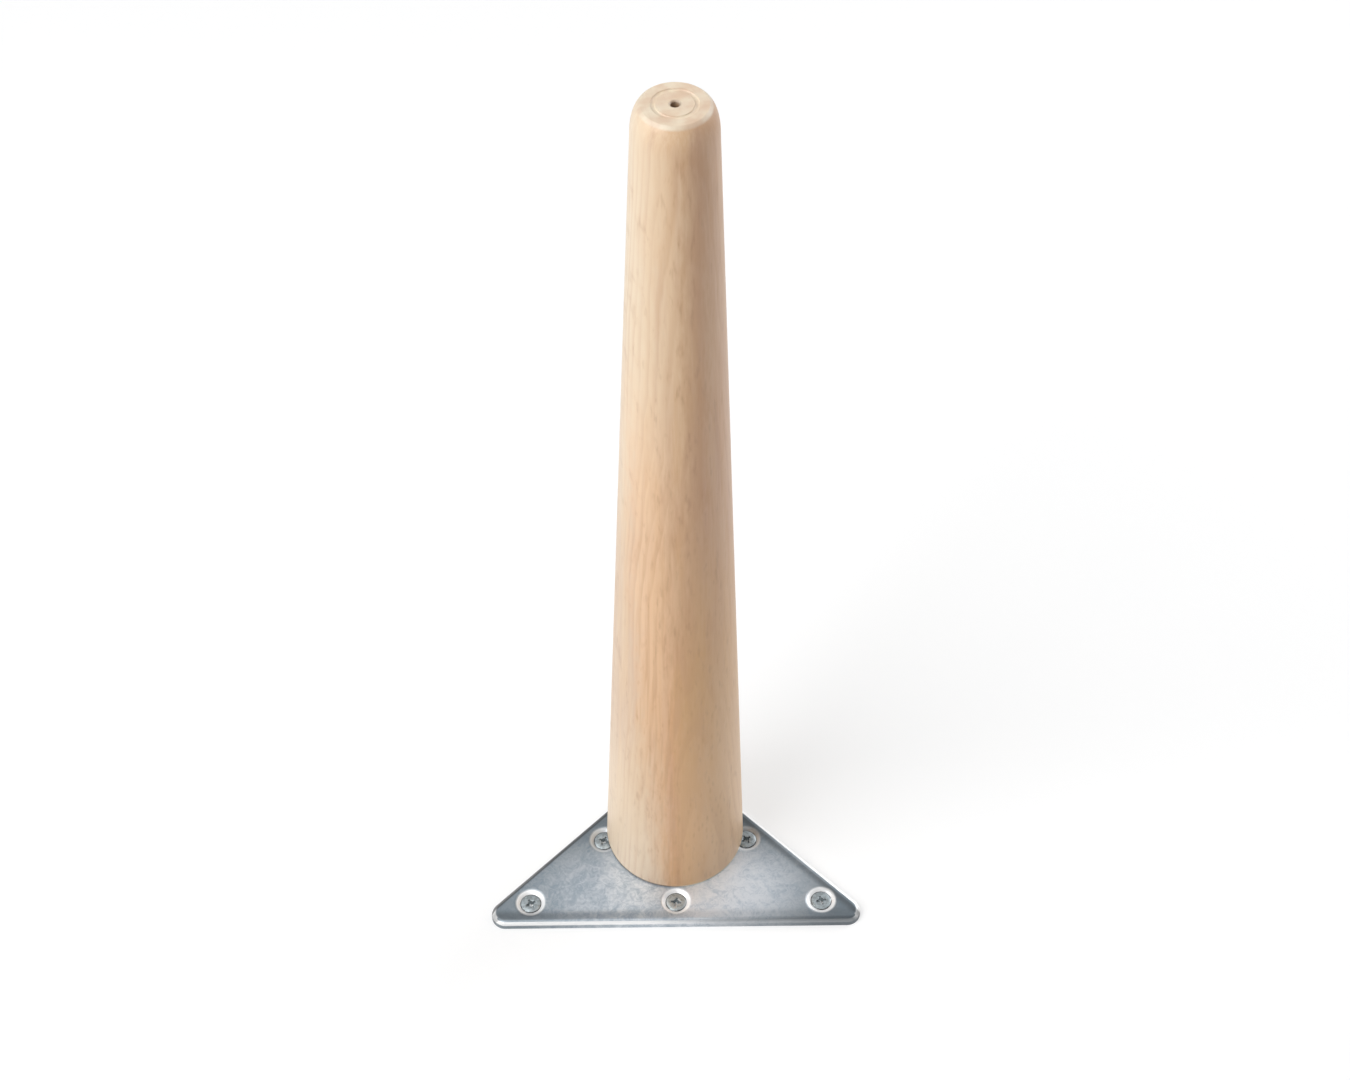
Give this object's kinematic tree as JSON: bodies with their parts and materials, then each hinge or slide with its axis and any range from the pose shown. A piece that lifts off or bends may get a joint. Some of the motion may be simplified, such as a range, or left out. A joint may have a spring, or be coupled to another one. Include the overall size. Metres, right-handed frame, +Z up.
{
  "type": "furniture leg",
  "caption": "Round tapered beech furniture leg on a triangular zinc-plated steel mounting plate, with its hanger bolt and countersunk wood screws.",
  "frame": {"origin": "on the leg's axis, in the plane where the mounting plate lies on the tabletop", "axes": "+Z up the leg from the plate to the foot end, -Y towards the plate's long edge, +X to the right seen from there"},
  "size_m": [0.1582, 0.0851, 0.4168],
  "materials": {
    "beech": "sanded, clear matt oil",
    "zinc_plate": "blue-white zinc plating, satin",
    "bolt_steel": "zinc plated",
    "screw_steel": "zinc plated, a little darker than the plate"
  },
  "bodies": {
    "root": {"leg": "beech", "mounting_plate": "zinc_plate", "hanger_bolt": "bolt_steel", "screw_corner_left": "screw_steel", "screw_corner_right": "screw_steel", "screw_corner_back": "screw_steel", "screw_edge_left": "screw_steel", "screw_edge_right": "screw_steel", "screw_edge_front": "screw_steel"}
  },
  "joints": []
}
